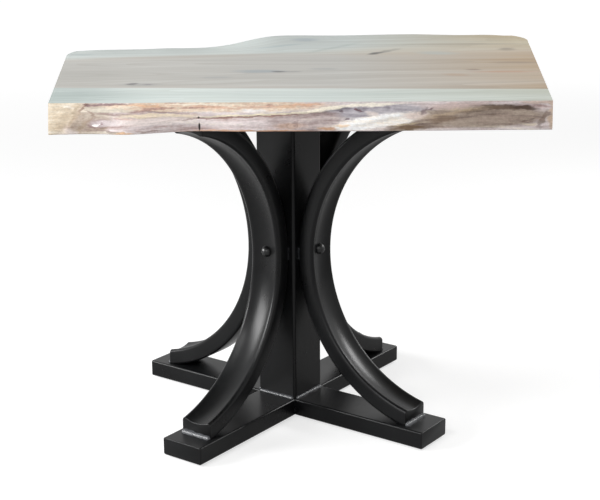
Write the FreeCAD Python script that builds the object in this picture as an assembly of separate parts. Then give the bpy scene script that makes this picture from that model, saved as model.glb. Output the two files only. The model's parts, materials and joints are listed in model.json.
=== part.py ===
import FreeCAD, Part
import os
import math

# Live-edge slab table on a welded steel pedestal. Millimetres, +Z up, the floor at z = 0.
# +X runs along the grain (left to right from the front), +Y runs to the back.
# The origin lies on the floor under the middle of the slab's outline; the post stands a little
# to the left and to the front of it, because the natural rear edge reaches further on one side.

os.makedirs("parts", exist_ok=True)

V = FreeCAD.Vector
UP = V(0, 0, 1)
ALONG = V(1, 0, 0)
ACROSS = V(0, 1, 0)

# Sizes, slab
table_height = 773.0
slab_thickness = 52.0
slab_width = 1125.0
slab_depth = 1082.0

# Sizes, pedestal
base_turn = 8.8
post_offset_x = -39.7
post_offset_y = -77.0
post_width = 101.6
post_wall = 3.2
post_corner = 6.0

foot_past_nose = 48.0
foot_width = 101.6
foot_height = 38.1
foot_wall = 3.0
foot_corner = 4.0
cap_thickness = 3.0

leg_width = 76.2
leg_depth = 38.1
leg_wall = 3.0
leg_corner = 8.0
leg_dish = 6.0
nose_height = 33.0
nose_plate = 3.0
# how far the bow carries the nose outwards, as a share of half the leg's rise
bow_share = 0.8012

bar_width = 101.6
bar_thickness = 6.35
bar_past_nose = 66.5

# Sizes, fasteners
bolt_above_middle = 7.5
bolt_diameter = 10.0
bolt_clearance = 0.5
dome_diameter = 25.0
dome_height = 10.0
leg_nut_flats = 17.0
leg_nut_thickness = 8.0
bolt_past_nut = 2.0
thread_gap = 0.05

screw_inset = 26.0
screw_spread = 26.0
screw_diameter = 8.0
screw_clearance = 0.5
screw_length = 24.0
screw_head_diameter = 15.0
screw_head_height = 5.0
screw_socket = 5.0
washer_diameter = 20.0
washer_thickness = 1.6
insert_diameter = 12.0
insert_length = 22.0
insert_below = 0.4

glide_inset = 41.5
pad_diameter = 32.0
pad_thickness = 5.0
pad_bevel = 1.2
pad_recess = 2.6
stem_diameter = 8.0
stem_length = 30.0
stem_flange_diameter = 16.0
foot_nut_flats = 13.0
foot_nut_thickness = 6.5

# Sizes, weld beads
toe_bead = 8.0
base_bead = 5.0
cross_bead = 4.0
stitch_bead = 4.0
stitch_length = 24.0
bead_crown_share = 0.16

# low button head: radius and depth below the washer, as shares of the head's own
head_shares = ((1.0, 0.0), (1.0, -0.35), (0.82, -0.80), (0.55, -1.0))
socket_share = 0.6
# bevel at the tip of a screw or stem, as a share of its radius
point_share = 0.2

# how far a cutting body runs past what it cuts
overrun = 40.0

# Natural outline of the slab
# Each row is one cross-section of the log, from the left end to the right end: its place along
# the width, the front edge and the back edge as shares of the depth from the slab's middle, and
# how far the sawn bottom stands out past the top at the front and at the back, as shares of
# the thickness. The rear edge steps out where the log swells towards its root.
log_shares = (
    (-0.560, -0.453, 0.150, 0.60, 0.25),
    (-0.500, -0.453, 0.211, 0.66, 0.25),
    (-0.455, -0.452, 0.241, 0.82, 0.28),
    (-0.335, -0.451, 0.257, 0.65, 0.30),
    (-0.247, -0.453, 0.268, 0.50, 0.30),
    (-0.207, -0.454, 0.279, 0.24, 0.28),
    (-0.114, -0.455, 0.420, 0.26, 0.30),
    (-0.070, -0.455, 0.481, 0.28, 0.30),
    (0.037, -0.456, 0.486, 0.28, 0.26),
    (0.155, -0.457, 0.493, 0.28, 0.24),
    (0.300, -0.458, 0.489, 0.22, 0.26),
    (0.420, -0.458, 0.478, 0.20, 0.28),
    (0.470, -0.458, 0.440, 0.16, 0.28),
    (0.510, -0.458, 0.375, 0.16, 0.25),
    (0.560, -0.458, 0.250, 0.16, 0.25),
)
# rounding of the bark side: height below the top and how much of the lean is reached there,
# both as shares; the first and last lie outside the sawn faces
edge_shares = (
    (-0.20, -0.22),
    (0.12, 0.22),
    (0.45, 0.62),
    (0.75, 0.92),
    (1.20, 1.04),
)
# the two cut ends lean outwards to the back, like the log itself
left_end_shares = (-0.4180, -0.5245)
right_end_shares = (0.3959, 0.5052)
# near the rear edge each cut turns round: where the round starts, as a share of the depth, and
# its radius; it runs on past the natural edge
left_round_share = 0.155
left_round_radius = 180.0
right_round_share = 0.368
right_round_radius = 156.0
round_sweep = 80.0
# glue lines between the boards, at the left and the right overrun of the slab
front_seam_shares = (-0.277, -0.341)
rear_seam_shares = (0.072, 0.225)
seam_station_share = 0.56

# Derived sizes
slab_under = table_height - slab_thickness
bar_under = slab_under - bar_thickness
foot_under = pad_thickness
foot_top = foot_under + foot_height
post_half = post_width / 2
foot_half = foot_width / 2
bar_half = bar_width / 2
leg_half = leg_width / 2
face_reach = post_half + leg_depth
mid_height = (foot_top + bar_under) / 2

# radius of the leg's outer face, through the middle of the post face and the top of the nose
nose_rise = mid_height - foot_top - nose_height
nose_run = bow_share * nose_rise
nose_reach = face_reach + nose_run
face_radius = (nose_run ** 2 + nose_rise ** 2) / (2 * nose_run)
arc_center = face_reach + face_radius

# feet and bars run on past the noses of the legs that stand between them
foot_reach = nose_reach + foot_past_nose
bar_reach = nose_reach + bar_past_nose
screw_reach = bar_reach - screw_inset
bolt_height = mid_height + bolt_above_middle

bolt_radius = bolt_diameter / 2
dome_radius = dome_diameter / 2
dish_half = leg_half - leg_corner
dish_radius = (dish_half ** 2 + leg_dish ** 2) / (2 * leg_dish)
dome_seat = face_reach - leg_dish + dome_radius ** 2 / (2 * dish_radius)
stem_radius = stem_diameter / 2
screw_radius = screw_diameter / 2

arm_angles = {
    "front_right": base_turn - 45,
    "rear_right": base_turn + 45,
    "rear_left": base_turn + 135,
    "front_left": base_turn + 225,
}


# Helpers
def keep(shape, node):
    """Write one piece to its own file."""
    shape.exportStep("parts/" + node + ".step")


def box(x0, x1, y0, y1, z0, z1):
    """A block between two corners."""
    return Part.makeBox(x1 - x0, y1 - y0, z1 - z0, V(x0, y0, z0))


def round_section(x_half, y_half, corner):
    """A rounded rectangle about the origin in the XY plane."""
    a = x_half - corner
    b = y_half - corner
    k = corner * math.sqrt(0.5)
    edges = [
        Part.LineSegment(V(-a, -y_half, 0), V(a, -y_half, 0)).toShape(),
        Part.Arc(V(a, -y_half, 0), V(a + k, -b - k, 0), V(x_half, -b, 0)).toShape(),
        Part.LineSegment(V(x_half, -b, 0), V(x_half, b, 0)).toShape(),
        Part.Arc(V(x_half, b, 0), V(a + k, b + k, 0), V(a, y_half, 0)).toShape(),
        Part.LineSegment(V(a, y_half, 0), V(-a, y_half, 0)).toShape(),
        Part.Arc(V(-a, y_half, 0), V(-a - k, b + k, 0), V(-x_half, b, 0)).toShape(),
        Part.LineSegment(V(-x_half, b, 0), V(-x_half, -b, 0)).toShape(),
        Part.Arc(V(-x_half, -b, 0), V(-a - k, -b - k, 0), V(-a, -y_half, 0)).toShape(),
    ]
    return Part.Face(Part.Wire(edges))


def tube_face(x_half, y_half, corner, wall):
    """The wall of a rounded rectangular tube in section."""
    outer = round_section(x_half, y_half, corner)
    inner = round_section(x_half - wall, y_half - wall, corner - wall)
    return outer.cut(inner)


def stand(face, z0, z1):
    """Draw a section straight up from one height to another."""
    solid = face.extrude(V(0, 0, z1 - z0))
    solid.translate(V(0, 0, z0))
    return solid


def lay(face, x0, x1, middle_z):
    """Draw a section along an arm: its first axis stands up, its second lies across."""
    solid = face.extrude(V(0, 0, x1 - x0))
    solid.rotate(V(0, 0, 0), ACROSS, 90)
    solid.translate(V(x0, 0, middle_z))
    return solid


def hexagon(flats, z0, z1):
    """A hexagonal prism with upright axis."""
    reach = flats / math.sqrt(3)
    corners = [V(reach * math.cos(math.radians(60 * i)), reach * math.sin(math.radians(60 * i)), z0)
               for i in range(7)]
    return Part.Face(Part.makePolygon(corners)).extrude(V(0, 0, z1 - z0))


def turned(points):
    """Turn a closed profile of (radius, height) about the upright axis."""
    corners = [V(r, 0, z) for r, z in points]
    corners.append(corners[0])
    return Part.Face(Part.makePolygon(corners)).revolve(V(0, 0, 0), UP, 360)


def fillet_bead(leg, length):
    """A weld bead in the corner of x = 0 and z = 0, with a slightly crowned face, lying across."""
    crown = leg / 2 + leg * bead_crown_share
    edges = [
        Part.LineSegment(V(0, 0, 0), V(leg, 0, 0)).toShape(),
        Part.Arc(V(leg, 0, 0), V(crown, 0, crown), V(0, 0, leg)).toShape(),
        Part.LineSegment(V(0, 0, leg), V(0, 0, 0)).toShape(),
    ]
    bead = Part.Face(Part.Wire(edges)).extrude(V(0, length, 0))
    bead.translate(V(0, -length / 2, 0))
    return bead


def on_arm(shape, name):
    """Turn a piece built along +X onto its arm and move it to the post."""
    placed = shape.copy()
    placed.rotate(V(0, 0, 0), UP, arm_angles[name])
    placed.translate(V(post_offset_x, post_offset_y, 0))
    return placed


def on_all_arms(shape):
    """The same piece on the four arms."""
    return Part.makeCompound([on_arm(shape, name) for name in arm_angles])


# Slab
def bark_edge(x, y, lean, side):
    """The rounded natural edge at one station, from above the top face to below the bottom."""
    points = [V(x, y + side * lean * out, table_height - slab_thickness * down)
              for down, out in edge_shares]
    curve = Part.BSplineCurve()
    curve.interpolate(points)
    return curve.toShape(), points[0], points[-1]


def log_section(x_share, front, back, front_lean, back_lean):
    """One cross-section of the log between its two natural edges."""
    x = x_share * slab_width
    near, near_top, near_bottom = bark_edge(x, front * slab_depth, front_lean * slab_thickness, -1)
    far, far_top, far_bottom = bark_edge(x, back * slab_depth, back_lean * slab_thickness, 1)
    bottom = Part.LineSegment(near_bottom, far_bottom).toShape()
    top = Part.LineSegment(far_top, near_top).toShape()
    return Part.Wire([near, bottom, far, top])


log = Part.makeLoft([log_section(*row) for row in log_shares], True, False)


def end_line(shares):
    """The cut end of the slab as a line through its front and back corners, run on at both."""
    front_y = -slab_depth / 2
    back_y = slab_depth / 2
    front_x = shares[0] * slab_width
    back_x = shares[1] * slab_width
    slope = (back_x - front_x) / slab_depth
    return (V(front_x - slope * overrun, front_y - overrun, 0),
            V(back_x + slope * overrun, back_y + overrun, 0))


def between(start, end, seam):
    """Where a glue line crosses a cut end."""
    station = seam_station_share * slab_width
    a = V(-station, seam[0] * slab_depth, 0)
    b = V(station, seam[1] * slab_depth, 0)
    d = end - start
    e = b - a
    t = ((a.x - start.x) * e.y - (a.y - start.y) * e.x) / (d.x * e.y - d.y * e.x)
    return start + d * t


def end_round(front, back, share, radius, side):
    """The round at the back of a cut end: where it starts, its middle and where it stops."""
    d = back - front
    start = front + d * ((share * slab_depth - front.y) / d.y)
    outwards = V(side * d.y, -side * d.x, 0).normalize()
    centre = start - outwards * radius

    def spoke(degrees):
        turn = math.radians(side * degrees)
        return centre + V(outwards.x * math.cos(turn) - outwards.y * math.sin(turn),
                          outwards.x * math.sin(turn) + outwards.y * math.cos(turn), 0) * radius

    return start, spoke(round_sweep / 2), spoke(round_sweep)


left_front, left_back = end_line(left_end_shares)
right_front, right_back = end_line(right_end_shares)
left_seam_a = between(left_front, left_back, front_seam_shares)
right_seam_a = between(right_front, right_back, front_seam_shares)
left_seam_b = between(left_front, left_back, rear_seam_shares)
right_seam_b = between(right_front, right_back, rear_seam_shares)


def board(outline):
    """Saw one board out of the log along its outline, square through its thickness."""
    cut = Part.Face(outline).extrude(V(0, 0, slab_thickness))
    cut.translate(V(0, 0, slab_under))
    return log.common(cut)


def outline_of(*corners):
    """A closed outline with straight sides."""
    return Part.makePolygon(list(corners) + [corners[0]])


left_start, left_middle, left_stop = end_round(left_front, left_back, left_round_share, left_round_radius, -1)
right_start, right_middle, right_stop = end_round(right_front, right_back, right_round_share, right_round_radius, 1)
rear_outline = Part.Wire([
    Part.LineSegment(left_seam_b, right_seam_b).toShape(),
    Part.LineSegment(right_seam_b, right_start).toShape(),
    Part.Arc(right_start, right_middle, right_stop).toShape(),
    Part.LineSegment(right_stop, V(right_stop.x, right_back.y, 0)).toShape(),
    Part.LineSegment(V(right_stop.x, right_back.y, 0), V(left_stop.x, left_back.y, 0)).toShape(),
    Part.LineSegment(V(left_stop.x, left_back.y, 0), left_stop).toShape(),
    Part.Arc(left_stop, left_middle, left_start).toShape(),
    Part.LineSegment(left_start, left_seam_b).toShape(),
])
boards = {
    "top_board_front": board(outline_of(left_front, right_front, right_seam_a, left_seam_a)),
    "top_board_middle": board(outline_of(left_seam_a, right_seam_a, right_seam_b, left_seam_b)),
    "top_board_rear": board(rear_outline),
}
slab_box = Part.makeCompound(list(boards.values())).optimalBoundingBox(False)
to_middle = V(-slab_box.Center.x, -slab_box.Center.y, 0)

# Screws that hold the slab down
insert_hole = Part.makeCylinder(insert_diameter / 2, insert_length + insert_below, V(0, 0, slab_under))
insert = Part.makeCylinder(insert_diameter / 2, insert_length, V(0, 0, slab_under + insert_below))
insert_bore = Part.makeCylinder(screw_radius + thread_gap, slab_thickness, V(0, 0, slab_under))
insert = insert.cut(insert_bore)

washer_top = bar_under
washer_bottom = washer_top - washer_thickness
washer = Part.makeCylinder(washer_diameter / 2, washer_thickness, V(0, 0, washer_bottom))
screw_hole_radius = screw_radius + screw_clearance
washer_hole = Part.makeCylinder(screw_hole_radius, washer_thickness, V(0, 0, washer_bottom))
washer = washer.cut(washer_hole)

head_profile = [(screw_head_diameter / 2 * r, washer_bottom + screw_head_height * z) for r, z in head_shares]
screw_tip = washer_bottom + screw_length
screw_point = screw_radius * point_share
screw_profile = [(0, screw_tip), (screw_radius - screw_point, screw_tip), (screw_radius, screw_tip - screw_point),
                 (screw_radius, washer_bottom)]
screw_profile += head_profile
screw_profile += [(0, washer_bottom - screw_head_height)]
screw = turned(screw_profile)
socket_depth = screw_head_height * socket_share
socket_floor = washer_bottom - screw_head_height + socket_depth
screw = screw.cut(hexagon(screw_socket, washer_bottom - screw_head_height - overrun, socket_floor))

screw_places = [V(screw_reach, screw_spread, 0), V(screw_reach, -screw_spread, 0)]


def at_screws(shape):
    """The same fastener in both holes of one arm."""
    both = []
    for place in screw_places:
        one = shape.copy()
        one.translate(place)
        both.append(one)
    return Part.makeCompound(both)


all_insert_holes = on_all_arms(at_screws(insert_hole))
for node, solid in boards.items():
    solid.translate(to_middle)
    solid = solid.cut(all_insert_holes)
    keep(solid, node)
keep(on_all_arms(at_screws(insert)), "top_inserts")
keep(on_all_arms(at_screws(washer)), "top_washers")
keep(on_all_arms(at_screws(screw)), "top_screws")

# Cross of flat bars under the slab
bar_hole = Part.makeCylinder(screw_hole_radius, bar_thickness, V(0, 0, bar_under))
long_bar = box(-bar_reach, bar_reach, -bar_half, bar_half, bar_under, slab_under)
long_bar = long_bar.cut(at_screws(bar_hole))
opposite_holes = at_screws(bar_hole)
opposite_holes.rotate(V(0, 0, 0), UP, 180)
long_bar = long_bar.cut(opposite_holes)
keep(on_arm(long_bar, "front_right"), "mount_bar_long")
short_bar = box(bar_half, bar_reach, -bar_half, bar_half, bar_under, slab_under)
short_bar = short_bar.cut(at_screws(bar_hole))
keep(on_arm(short_bar, "front_left"), "mount_bar_front")
keep(on_arm(short_bar, "rear_right"), "mount_bar_rear")

# Square post
bolt_hole_radius = bolt_radius + bolt_clearance
post = stand(tube_face(post_half, post_half, post_corner, post_wall), foot_top, bar_under)
post_hole = Part.makeCylinder(bolt_hole_radius, post_wall, V(post_half - post_wall, 0, bolt_height), ALONG)
for name in arm_angles:
    hole = post_hole.copy()
    hole.rotate(V(0, 0, 0), UP, arm_angles[name] - base_turn - 45)
    post = post.cut(hole)
post.rotate(V(0, 0, 0), UP, base_turn + 45)
post.translate(V(post_offset_x, post_offset_y, 0))
keep(post, "center_post")

# Cross of tube feet on the floor
foot_middle = foot_under + foot_height / 2
foot_face = tube_face(foot_height / 2, foot_half, foot_corner, foot_wall)
tube_end = foot_reach - cap_thickness
glide_reach = foot_reach - glide_inset
glide_hole = Part.makeCylinder(stem_radius + bolt_clearance, foot_wall, V(glide_reach, 0, foot_under))
opposite_glide_hole = glide_hole.copy()
opposite_glide_hole.rotate(V(0, 0, 0), UP, 180)
long_foot = lay(foot_face, -tube_end, tube_end, foot_middle)
long_foot = long_foot.cut(glide_hole).cut(opposite_glide_hole)
keep(on_arm(long_foot, "front_right"), "foot_tube_long")
short_foot = lay(foot_face, foot_half, tube_end, foot_middle).cut(glide_hole)
keep(on_arm(short_foot, "front_left"), "foot_tube_front")
keep(on_arm(short_foot, "rear_right"), "foot_tube_rear")
foot_cap = lay(round_section(foot_height / 2, foot_half, foot_corner), tube_end, foot_reach, foot_middle)
for name in arm_angles:
    keep(on_arm(foot_cap, name), "foot_cap_" + name)

# Bent legs
def leg_section(inset):
    """The leg's tube in section at mid-height, with the outer face drawn in by the bending."""
    back = post_half + inset
    front = face_reach - inset
    side = leg_half - inset
    r = leg_corner - inset
    k = r * math.sqrt(0.5)
    flat = side - r
    z = mid_height
    edges = [
        Part.LineSegment(V(back, flat, z), V(back, -flat, z)).toShape(),
        Part.Arc(V(back, -flat, z), V(back + r - k, -flat - k, z), V(back + r, -side, z)).toShape(),
        Part.LineSegment(V(back + r, -side, z), V(front - r, -side, z)).toShape(),
        Part.Arc(V(front - r, -side, z), V(front - r + k, -flat - k, z), V(front, -flat, z)).toShape(),
        Part.Arc(V(front, -flat, z), V(front - leg_dish, 0, z), V(front, flat, z)).toShape(),
        Part.Arc(V(front, flat, z), V(front - r + k, flat + k, z), V(front - r, side, z)).toShape(),
        Part.LineSegment(V(front - r, side, z), V(back + r, side, z)).toShape(),
        Part.Arc(V(back + r, side, z), V(back + r - k, flat + k, z), V(back, flat, z)).toShape(),
    ]
    return Part.Face(Part.Wire(edges))


def bent(face):
    """Bend a section over half a turn about the far side of the leg."""
    pivot = V(arc_center, 0, mid_height)
    start = face.copy()
    start.rotate(pivot, ACROSS, -90)
    return start.revolve(pivot, ACROSS, 180)


leg_outer = bent(leg_section(0))
leg_inner = bent(leg_section(leg_wall))
nose_back = nose_reach - nose_plate
leg_room = box(0, nose_back, -leg_width, leg_width, foot_top, bar_under)
leg_holes = Part.makeCylinder(bolt_hole_radius, leg_depth + overrun, V(post_half - overrun, 0, bolt_height), ALONG)
leg = leg_outer.cut(leg_inner).common(leg_room).cut(leg_holes)
toe_room = box(nose_back, nose_reach, -leg_width, leg_width, foot_top, mid_height)
head_room = box(nose_back, nose_reach, -leg_width, leg_width, mid_height, bar_under)
toe_plate = leg_outer.common(toe_room)
head_plate = leg_outer.common(head_room)
for name in arm_angles:
    keep(on_arm(leg, name), "leg_" + name)
    keep(on_arm(toe_plate, name), "toe_plate_" + name)
    keep(on_arm(head_plate, name), "head_plate_" + name)

# Domed bolts that pin the legs to the post
nut_outer = post_half - post_wall
nut_inner = nut_outer - leg_nut_thickness
bolt_tip = nut_inner - bolt_past_nut
dome_ball = (dome_radius ** 2 + dome_height ** 2) / (2 * dome_height)
dome = Part.makeSphere(dome_ball, V(0, 0, dome_height - dome_ball))
dome = dome.common(Part.makeCylinder(dome_radius, dome_height, V(0, 0, 0)))
shank = Part.makeCylinder(bolt_radius, dome_seat - bolt_tip, V(0, 0, bolt_tip - dome_seat))
leg_bolt = dome.fuse(shank).removeSplitter()
leg_bolt.rotate(V(0, 0, 0), ACROSS, 90)
leg_bolt.translate(V(dome_seat, 0, bolt_height))
keep(on_all_arms(leg_bolt), "leg_bolts")
leg_nut = hexagon(leg_nut_flats, 0, leg_nut_thickness)
leg_nut = leg_nut.cut(Part.makeCylinder(bolt_radius + thread_gap, leg_nut_thickness))
leg_nut.rotate(V(0, 0, 0), ACROSS, 90)
leg_nut.translate(V(nut_inner, 0, bolt_height))
keep(on_all_arms(leg_nut), "leg_nuts")

# Weld beads
def hang(bead):
    """Turn a bead over, for a corner under a plate."""
    turned_over = bead.copy()
    turned_over.rotate(V(0, 0, 0), ALONG, 180)
    return turned_over


toe_weld = fillet_bead(toe_bead, leg_width - leg_corner)
head_weld = hang(toe_weld)
toe_weld.translate(V(nose_reach, 0, foot_top))
head_weld.translate(V(nose_reach, 0, bar_under))
keep(on_all_arms(toe_weld), "weld_toes")
keep(on_all_arms(head_weld), "weld_heads")

base_weld = fillet_bead(base_bead, post_width - 2 * post_corner)
crown_weld = hang(base_weld)
base_weld.translate(V(post_half, 0, foot_top))
crown_weld.translate(V(post_half, 0, bar_under))
keep(on_all_arms(base_weld), "weld_post_base")
keep(on_all_arms(crown_weld), "weld_post_top")

# upright beads in the four inner corners of the feet
cross_weld = fillet_bead(cross_bead, foot_height - 2 * foot_corner)
cross_weld.rotate(V(0, 0, 0), ALONG, 90)
cross_weld.rotate(V(0, 0, 0), UP, 90)
cross_box = cross_weld.BoundBox
cross_weld.translate(V(foot_half - cross_box.XMin, foot_half - cross_box.YMin, foot_middle))
if cross_weld.BoundBox.Center.z < foot_under:
    cross_weld.translate(V(0, 0, foot_height))
keep(on_all_arms(cross_weld), "weld_foot_corners")

# short beads along both sides of each leg where it touches the post
stitch_side = leg_half + stitch_bead
stitch_out = post_half + leg_corner + stitch_bead
stitch_low = mid_height - stitch_length / 2
stitch_corners = [
    V(post_half, dish_half, stitch_low),
    V(stitch_out, dish_half, stitch_low),
    V(stitch_out, leg_half, stitch_low),
    V(post_half, stitch_side, stitch_low),
    V(post_half, dish_half, stitch_low),
]
stitch = Part.Face(Part.makePolygon(stitch_corners)).extrude(V(0, 0, stitch_length)).cut(leg_outer)
stitch_pair = Part.makeCompound([stitch, stitch.mirror(V(0, 0, 0), ACROSS)])
keep(on_all_arms(stitch_pair), "weld_stitches")

# Screw-in glides under the feet
foot_nut_low = foot_under + foot_wall
foot_nut = hexagon(foot_nut_flats, foot_nut_low, foot_nut_low + foot_nut_thickness)
foot_nut = foot_nut.cut(Part.makeCylinder(stem_radius + thread_gap, foot_height, V(0, 0, foot_under)))
foot_nut.translate(V(glide_reach, 0, 0))
keep(on_all_arms(foot_nut), "foot_nuts")

pad_radius = pad_diameter / 2
pad = turned([(0, 0), (pad_radius - pad_bevel, 0), (pad_radius, pad_bevel),
              (pad_radius, pad_thickness - pad_bevel), (pad_radius - pad_bevel, pad_thickness),
              (0, pad_thickness)])
flange_radius = stem_flange_diameter / 2
flange_floor = pad_thickness - pad_recess
stem = Part.makeCylinder(flange_radius, pad_recess, V(0, 0, flange_floor))
pad = pad.cut(stem)
stem_rod = Part.makeCylinder(stem_radius, stem_length, V(0, 0, flange_floor))
stem_rod = stem_rod.makeChamfer(stem_radius * point_share, [stem_rod.Edges[0]])
stem = stem.fuse(stem_rod).removeSplitter()
pad.translate(V(glide_reach, 0, 0))
stem.translate(V(glide_reach, 0, 0))
for name in arm_angles:
    keep(on_arm(pad, name), "glide_pad_" + name)
    keep(on_arm(stem, name), "glide_stem_" + name)
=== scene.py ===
# %% [markdown]
# # A live-edge slab table on a welded steel pedestal
#
# This lesson dresses a finished CAD model. The model gives every piece its place and size, and
# it isn't moved or reshaped here. We give each piece its finish, and model again the pieces
# whose surface matters most: the two boards with a natural edge, the bent legs with their end
# plates, the caps of the feet and the weld beads.
# All lengths are metres, +X runs along the grain, +Y to the back and +Z up.

# %% Load the fixed frame
import json
import math
from contextlib import contextmanager
from functools import partial

import bmesh
import bpy
from mathutils import Matrix, Vector, noise


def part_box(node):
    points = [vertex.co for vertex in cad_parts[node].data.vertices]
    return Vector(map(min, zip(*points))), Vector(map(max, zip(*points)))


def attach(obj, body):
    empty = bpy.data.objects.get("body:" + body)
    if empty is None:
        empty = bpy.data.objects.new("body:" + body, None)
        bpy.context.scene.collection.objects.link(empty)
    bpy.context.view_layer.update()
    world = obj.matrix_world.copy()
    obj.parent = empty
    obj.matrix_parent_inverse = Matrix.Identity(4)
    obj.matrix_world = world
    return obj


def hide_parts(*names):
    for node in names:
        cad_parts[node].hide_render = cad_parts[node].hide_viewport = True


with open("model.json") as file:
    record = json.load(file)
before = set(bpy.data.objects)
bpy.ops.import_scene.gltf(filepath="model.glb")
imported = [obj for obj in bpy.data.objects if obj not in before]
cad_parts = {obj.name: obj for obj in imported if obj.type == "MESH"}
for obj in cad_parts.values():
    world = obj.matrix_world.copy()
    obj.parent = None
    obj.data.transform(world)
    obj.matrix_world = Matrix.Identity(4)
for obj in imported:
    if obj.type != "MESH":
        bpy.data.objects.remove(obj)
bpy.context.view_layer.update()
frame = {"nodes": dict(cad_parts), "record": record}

nodes = frame["nodes"]
MM = 0.001
print("nodes in the frame:", len(nodes))

# %% [markdown]
# ## The camera
#
# The photograph was taken from a little above, straight from the front. A camera could be placed
# by eye, but one fitted to the corners of the feet and of the slab puts every edge within a few
# pixels. The fit gives where it stands, where it looks, how it is tilted and its lens.

# %% Camera
camera_place = Vector((-0.0227, -2.9643, 1.1868))
look_turn = math.radians(89.923)
look_down = math.radians(15.828)
tilt = math.radians(0.365)

forward = Vector((math.cos(look_turn) * math.cos(look_down),
                  math.sin(look_turn) * math.cos(look_down),
                  -math.sin(look_down)))
level_right = forward.cross(Vector((0, 0, 1))).normalized()
level_down = forward.cross(level_right)
right = level_right * math.cos(tilt) + level_down * math.sin(tilt)
up = level_right * math.sin(tilt) - level_down * math.cos(tilt)

lens_data = bpy.data.cameras.new("photo_camera")
lens_data.lens = 81.07
lens_data.sensor_width = 36.0
lens_data.shift_x = 0.0024
lens_data.shift_y = 0.0010
camera = bpy.data.objects.new("photo_camera", lens_data)
bpy.context.scene.collection.objects.link(camera)
camera_axes = Matrix((right, up, -forward)).transposed().to_4x4()
camera.matrix_world = Matrix.Translation(camera_place) @ camera_axes
bpy.context.scene.camera = camera
bpy.context.scene.view_settings.view_transform = "Standard"
print("camera stands", round(camera_place.length, 2), "m from the origin")

# %% [markdown]
# ## Colour and nodes
#
# A colour picked from a screen is sRGB, and a shader works in linear light, so one function
# turns the one into the other. Shader nodes could each get a function of their own, but one that
# adds any node, sets it and links it keeps the materials short and easy to read.

# %% Colour and node helpers
def linear(hex_code):
    """The linear colour of an sRGB hex code."""
    channels = [int(hex_code[i:i + 2], 16) / 255 for i in (1, 3, 5)]
    return [c / 12.92 if c <= 0.04045 else ((c + 0.055) / 1.055) ** 2.4 for c in channels] + [1.0]


def add_node(tree, kind, inputs=None, stops=None, **settings):
    """Add a shader node, set its options and its inputs, and link what comes from other nodes.

    An input takes a number, an sRGB hex code, a socket, or a node, which gives its first output.
    The stops of a colour ramp are pairs of a place and a hex code.
    """
    node = tree.nodes.new("ShaderNode" + kind)
    for name, value in settings.items():
        setattr(node, name, value)
    for name, value in (inputs or {}).items():
        if isinstance(value, bpy.types.Node):
            value = value.outputs[0]
        if isinstance(value, bpy.types.NodeSocket):
            tree.links.new(value, node.inputs[name])
        else:
            node.inputs[name].default_value = linear(value) if isinstance(value, str) else value
    if stops:
        ramp = node.color_ramp
        while len(ramp.elements) < len(stops):
            ramp.elements.new(1.0)
        for element, (place, colour) in zip(ramp.elements, stops):
            element.position = place
            element.color = linear(colour)
    return node


def new_material(name):
    """An empty node material, the function that adds a node to it, and the place on the object."""
    material = bpy.data.materials.new(name)
    material.use_nodes = True
    material.node_tree.nodes.clear()
    add = partial(add_node, material.node_tree)
    return material, add, add("TexCoord").outputs["Object"]


print("pale sapwood in linear light:", [round(c, 3) for c in linear("#d2dad6")[:3]])

# %% [markdown]
# ## Working in edit mode from code
#
# By hand one clicks the vertices to work on. Here a test on their place picks them, so the
# same cut lands on the same spot each time. A new primitive comes in selected, and so do the
# CAD pieces, so everything is let go first. Flat cuts with a filled face do what a saw does.

# %% Edit helpers
def start(primitive, name, scale, **options):
    """Let everything go, add a primitive, name it, stretch it and apply its place."""
    bpy.ops.object.select_all(action="DESELECT")
    primitive(**options)
    piece = bpy.context.object
    piece.name = name
    piece.scale = scale
    bpy.ops.object.transform_apply(location=True, rotation=True, scale=True)
    return piece


def use(piece):
    """Make one piece the only one selected."""
    bpy.ops.object.select_all(action="DESELECT")
    piece.hide_set(False)
    piece.select_set(True)
    bpy.context.view_layer.objects.active = piece


@contextmanager
def editing(piece):
    """Open one piece in edit mode, and close it when the work is done."""
    use(piece)
    bpy.ops.object.mode_set(mode="EDIT")
    yield
    bpy.ops.object.mode_set(mode="OBJECT")


def pick(piece, test, kind="VERT"):
    """In edit mode, select the vertices, edges or faces whose corners all pass the test."""
    bpy.ops.mesh.select_mode(type=kind)
    bpy.ops.mesh.select_all(action="DESELECT")
    mesh = bmesh.from_edit_mesh(piece.data)
    if kind == "VERT":
        for vertex in mesh.verts:
            vertex.select = test(vertex.co)
    else:
        for part in mesh.edges if kind == "EDGE" else mesh.faces:
            part.select = all(test(v.co) for v in part.verts)
    mesh.select_flush_mode()
    bmesh.update_edit_mesh(piece.data)


def saw(place, outwards):
    """In edit mode, cut off all that lies outwards of a plane and close the cut."""
    bpy.ops.mesh.select_mode(type="VERT")
    bpy.ops.mesh.select_all(action="SELECT")
    bpy.ops.mesh.bisect(plane_co=place, plane_no=outwards, use_fill=True, clear_outer=True,
                        threshold=1e-6)


def point_out():
    """In edit mode, turn all faces outwards."""
    bpy.ops.mesh.select_all(action="SELECT")
    bpy.ops.mesh.normals_make_consistent(inside=False)


def smooth(piece, degrees):
    """Shade smoothly across edges flatter than an angle."""
    use(piece)
    bpy.ops.object.shade_smooth_by_angle(angle=math.radians(degrees))


def copy_of(piece, name):
    """A copy with a mesh of its own."""
    copy = piece.copy()
    copy.data = piece.data.copy()
    copy.name = name
    bpy.context.scene.collection.objects.link(copy)
    return copy


def put_away(piece):
    """Remove a pattern once its copies are made."""
    bpy.data.objects.remove(piece, do_unlink=True)


print("operators ready in", bpy.context.mode, "mode")

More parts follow.
